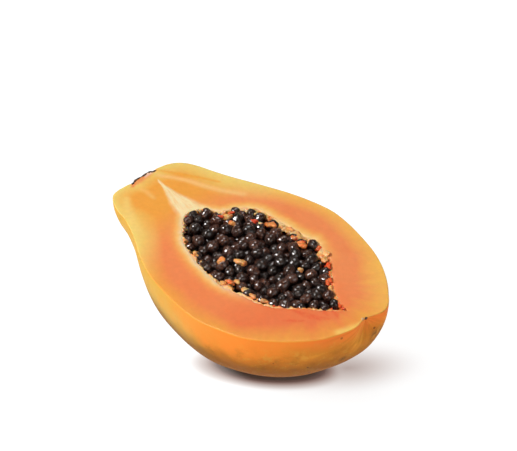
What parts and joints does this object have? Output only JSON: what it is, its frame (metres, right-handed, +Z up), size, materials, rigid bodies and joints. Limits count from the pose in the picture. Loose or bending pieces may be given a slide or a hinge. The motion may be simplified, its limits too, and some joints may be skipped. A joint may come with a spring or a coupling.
{
  "type": "halved papaya",
  "caption": "Half of a ripe papaya, cut lengthwise and lying on its skin with the cut face level and its cavity heaped with round seeds.",
  "frame": {"origin": "middle of the small flat spot on the underside that the fruit rests on", "axes": "+X from the stem end to the blossom end, +Y across the cut face, +Z up out of the cut face"},
  "size_m": [0.1632, 0.1069, 0.0578],
  "materials": {
    "flesh": "satin",
    "seed_coat": "gloss"
  },
  "bodies": {
    "root": {"fruit_half": "flesh", "seeds": "seed_coat"}
  },
  "joints": []
}
